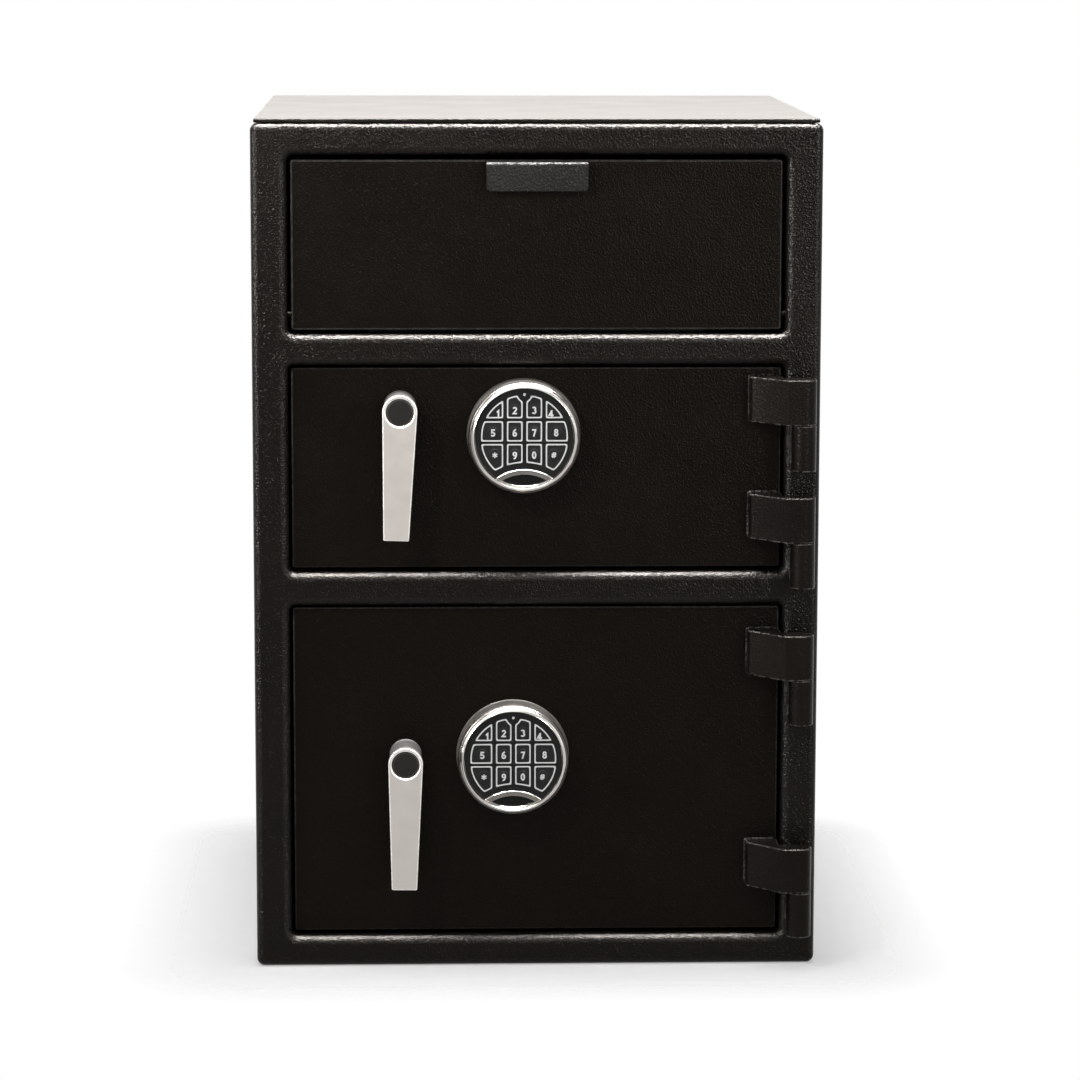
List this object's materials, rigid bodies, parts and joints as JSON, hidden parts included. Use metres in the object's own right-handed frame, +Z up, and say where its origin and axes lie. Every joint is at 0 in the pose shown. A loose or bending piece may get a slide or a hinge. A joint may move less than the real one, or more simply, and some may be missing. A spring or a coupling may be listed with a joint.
{
  "type": "drop safe",
  "caption": "Upright steel drop safe: a tilt-out deposit hopper above hinged doors with round keypads, lever handles, hidden locking bolts and outside hinges.",
  "frame": {"origin": "centre of the cabinet's base, on the surface it stands on", "axes": "+Z up, +Y into the safe from the front, +X to the right as seen from the front, where the hinges are"},
  "size_m": [0.508, 0.546, 0.768],
  "materials": {
    "hammered_black_paint": "hammered powder coat with fine sparkle",
    "smooth_black_paint": "fine textured powder coat",
    "pull_paint": "fine textured powder coat",
    "hinge_black_paint": "powder coat over ground welds",
    "inner_black_paint": "plain black paint",
    "satin_nickel": "satin",
    "dark_cap": "satin black",
    "grey_hub": "satin",
    "zinc_steel": "zinc plated",
    "lock_casting": "die cast",
    "polished_chrome": "polished rim, satin foot",
    "keypad_black": "satin",
    "key_rubber": "matte with a pale outline"
  },
  "bodies": {
    "root": {"cabinet_shell": "hammered_black_paint", "front_frame": "hammered_black_paint", "top_plate": "hammered_black_paint", "back_plate": "hammered_black_paint", "compartment_shelf": "inner_black_paint", "anti_fish_baffle": "inner_black_paint", "hopper_stop": "inner_black_paint", "lower_top_hinge_post": "hinge_black_paint", "lower_foot_hinge_post": "hinge_black_paint", "upper_top_hinge_post": "hinge_black_paint", "upper_foot_hinge_post": "hinge_black_paint"},
    "hopper": {"hopper_face": "smooth_black_paint", "hopper_pull": "pull_paint", "hopper_bucket": "inner_black_paint"},
    "lower_door": {"lower_door_plate": "smooth_black_paint", "lower_top_hinge_strap": "hinge_black_paint", "lower_foot_hinge_strap": "hinge_black_paint", "lower_handle_hub": "grey_hub", "lower_lock_case": "lock_casting", "lower_keypad_housing": "polished_chrome", "lower_keypad_panel": "keypad_black"},
    "lower_handle": {"lower_handle_lever": "satin_nickel", "lower_handle_spindle": "dark_cap"},
    "lower_bolts": {"lower_bolt_carriage": "zinc_steel"},
    "lower_lock": {"lower_lock_bolt": "zinc_steel"},
    "lower_key_1": {"lower_key_1": "key_rubber"},
    "lower_key_2": {"lower_key_2": "key_rubber"},
    "lower_key_3": {"lower_key_3": "key_rubber"},
    "lower_key_4": {"lower_key_4": "key_rubber"},
    "lower_key_5": {"lower_key_5": "key_rubber"},
    "lower_key_6": {"lower_key_6": "key_rubber"},
    "lower_key_7": {"lower_key_7": "key_rubber"},
    "lower_key_8": {"lower_key_8": "key_rubber"},
    "lower_key_9": {"lower_key_9": "key_rubber"},
    "lower_key_0": {"lower_key_0": "key_rubber"},
    "lower_key_star": {"lower_key_star": "key_rubber"},
    "lower_key_hash": {"lower_key_hash": "key_rubber"},
    "upper_door": {"upper_door_plate": "smooth_black_paint", "upper_top_hinge_strap": "hinge_black_paint", "upper_foot_hinge_strap": "hinge_black_paint", "upper_handle_hub": "grey_hub", "upper_lock_case": "lock_casting", "upper_keypad_housing": "polished_chrome", "upper_keypad_panel": "keypad_black"},
    "upper_handle": {"upper_handle_lever": "satin_nickel", "upper_handle_spindle": "dark_cap"},
    "upper_bolts": {"upper_bolt_carriage": "zinc_steel"},
    "upper_lock": {"upper_lock_bolt": "zinc_steel"},
    "upper_key_1": {"upper_key_1": "key_rubber"},
    "upper_key_2": {"upper_key_2": "key_rubber"},
    "upper_key_3": {"upper_key_3": "key_rubber"},
    "upper_key_4": {"upper_key_4": "key_rubber"},
    "upper_key_5": {"upper_key_5": "key_rubber"},
    "upper_key_6": {"upper_key_6": "key_rubber"},
    "upper_key_7": {"upper_key_7": "key_rubber"},
    "upper_key_8": {"upper_key_8": "key_rubber"},
    "upper_key_9": {"upper_key_9": "key_rubber"},
    "upper_key_0": {"upper_key_0": "key_rubber"},
    "upper_key_star": {"upper_key_star": "key_rubber"},
    "upper_key_hash": {"upper_key_hash": "key_rubber"}
  },
  "joints": [
    {"name": "hopper_tilt", "type": "hinge", "parent": "root", "child": "hopper", "pos_m": [0, -0.2388, 0.5938], "axis": [1, 0, 0], "range_deg": [0, 48]},
    {"name": "lower_door_swing", "type": "hinge", "parent": "root", "child": "lower_door", "pos_m": [0.237, -0.2775, 0.18], "axis": [0, 0, 1], "range_deg": [0, 180]},
    {"name": "lower_handle_turn", "type": "hinge", "parent": "lower_door", "child": "lower_handle", "pos_m": [-0.1182, -0.242, 0.194], "axis": [0, 1, 0], "range_deg": [0, 60]},
    {"name": "lower_bolts_slide", "type": "slide", "parent": "lower_door", "child": "lower_bolts", "axis": [-1, 0, 0], "range_m": [0, 0.022]},
    {"name": "lower_lock_bolt_slide", "type": "slide", "parent": "lower_door", "child": "lower_lock", "axis": [-1, 0, 0], "range_m": [0, 0.016]},
    {"name": "lower_key_1_press", "type": "slide", "parent": "lower_door", "child": "lower_key_1", "axis": [0, 1, 0], "range_m": [0, 0.0008], "stiffness_N_per_m": 900},
    {"name": "lower_key_2_press", "type": "slide", "parent": "lower_door", "child": "lower_key_2", "axis": [0, 1, 0], "range_m": [0, 0.0008], "stiffness_N_per_m": 900},
    {"name": "lower_key_3_press", "type": "slide", "parent": "lower_door", "child": "lower_key_3", "axis": [0, 1, 0], "range_m": [0, 0.0008], "stiffness_N_per_m": 900},
    {"name": "lower_key_4_press", "type": "slide", "parent": "lower_door", "child": "lower_key_4", "axis": [0, 1, 0], "range_m": [0, 0.0008], "stiffness_N_per_m": 900},
    {"name": "lower_key_5_press", "type": "slide", "parent": "lower_door", "child": "lower_key_5", "axis": [0, 1, 0], "range_m": [0, 0.0008], "stiffness_N_per_m": 900},
    {"name": "lower_key_6_press", "type": "slide", "parent": "lower_door", "child": "lower_key_6", "axis": [0, 1, 0], "range_m": [0, 0.0008], "stiffness_N_per_m": 900},
    {"name": "lower_key_7_press", "type": "slide", "parent": "lower_door", "child": "lower_key_7", "axis": [0, 1, 0], "range_m": [0, 0.0008], "stiffness_N_per_m": 900},
    {"name": "lower_key_8_press", "type": "slide", "parent": "lower_door", "child": "lower_key_8", "axis": [0, 1, 0], "range_m": [0, 0.0008], "stiffness_N_per_m": 900},
    {"name": "lower_key_9_press", "type": "slide", "parent": "lower_door", "child": "lower_key_9", "axis": [0, 1, 0], "range_m": [0, 0.0008], "stiffness_N_per_m": 900},
    {"name": "lower_key_0_press", "type": "slide", "parent": "lower_door", "child": "lower_key_0", "axis": [0, 1, 0], "range_m": [0, 0.0008], "stiffness_N_per_m": 900},
    {"name": "lower_key_star_press", "type": "slide", "parent": "lower_door", "child": "lower_key_star", "axis": [0, 1, 0], "range_m": [0, 0.0008], "stiffness_N_per_m": 900},
    {"name": "lower_key_hash_press", "type": "slide", "parent": "lower_door", "child": "lower_key_hash", "axis": [0, 1, 0], "range_m": [0, 0.0008], "stiffness_N_per_m": 900},
    {"name": "upper_door_swing", "type": "hinge", "parent": "root", "child": "upper_door", "pos_m": [0.237, -0.2775, 0.45595], "axis": [0, 0, 1], "range_deg": [0, 180]},
    {"name": "upper_handle_turn", "type": "hinge", "parent": "upper_door", "child": "upper_handle", "pos_m": [-0.1223, -0.242, 0.5114], "axis": [0, 1, 0], "range_deg": [0, 60]},
    {"name": "upper_bolts_slide", "type": "slide", "parent": "upper_door", "child": "upper_bolts", "axis": [-1, 0, 0], "range_m": [0, 0.022]},
    {"name": "upper_lock_bolt_slide", "type": "slide", "parent": "upper_door", "child": "upper_lock", "axis": [-1, 0, 0], "range_m": [0, 0.016]},
    {"name": "upper_key_1_press", "type": "slide", "parent": "upper_door", "child": "upper_key_1", "axis": [0, 1, 0], "range_m": [0, 0.0008], "stiffness_N_per_m": 900},
    {"name": "upper_key_2_press", "type": "slide", "parent": "upper_door", "child": "upper_key_2", "axis": [0, 1, 0], "range_m": [0, 0.0008], "stiffness_N_per_m": 900},
    {"name": "upper_key_3_press", "type": "slide", "parent": "upper_door", "child": "upper_key_3", "axis": [0, 1, 0], "range_m": [0, 0.0008], "stiffness_N_per_m": 900},
    {"name": "upper_key_4_press", "type": "slide", "parent": "upper_door", "child": "upper_key_4", "axis": [0, 1, 0], "range_m": [0, 0.0008], "stiffness_N_per_m": 900},
    {"name": "upper_key_5_press", "type": "slide", "parent": "upper_door", "child": "upper_key_5", "axis": [0, 1, 0], "range_m": [0, 0.0008], "stiffness_N_per_m": 900},
    {"name": "upper_key_6_press", "type": "slide", "parent": "upper_door", "child": "upper_key_6", "axis": [0, 1, 0], "range_m": [0, 0.0008], "stiffness_N_per_m": 900},
    {"name": "upper_key_7_press", "type": "slide", "parent": "upper_door", "child": "upper_key_7", "axis": [0, 1, 0], "range_m": [0, 0.0008], "stiffness_N_per_m": 900},
    {"name": "upper_key_8_press", "type": "slide", "parent": "upper_door", "child": "upper_key_8", "axis": [0, 1, 0], "range_m": [0, 0.0008], "stiffness_N_per_m": 900},
    {"name": "upper_key_9_press", "type": "slide", "parent": "upper_door", "child": "upper_key_9", "axis": [0, 1, 0], "range_m": [0, 0.0008], "stiffness_N_per_m": 900},
    {"name": "upper_key_0_press", "type": "slide", "parent": "upper_door", "child": "upper_key_0", "axis": [0, 1, 0], "range_m": [0, 0.0008], "stiffness_N_per_m": 900},
    {"name": "upper_key_star_press", "type": "slide", "parent": "upper_door", "child": "upper_key_star", "axis": [0, 1, 0], "range_m": [0, 0.0008], "stiffness_N_per_m": 900},
    {"name": "upper_key_hash_press", "type": "slide", "parent": "upper_door", "child": "upper_key_hash", "axis": [0, 1, 0], "range_m": [0, 0.0008], "stiffness_N_per_m": 900}
  ],
  "couplings": [
    {"joint": "lower_bolts_slide", "follows": "lower_handle_turn", "m_per_rad": 0.021008},
    {"joint": "lower_lock_bolt_slide", "follows": "lower_handle_turn", "m_per_rad": 0.015279},
    {"joint": "upper_bolts_slide", "follows": "upper_handle_turn", "m_per_rad": 0.021008},
    {"joint": "upper_lock_bolt_slide", "follows": "upper_handle_turn", "m_per_rad": 0.015279}
  ]
}
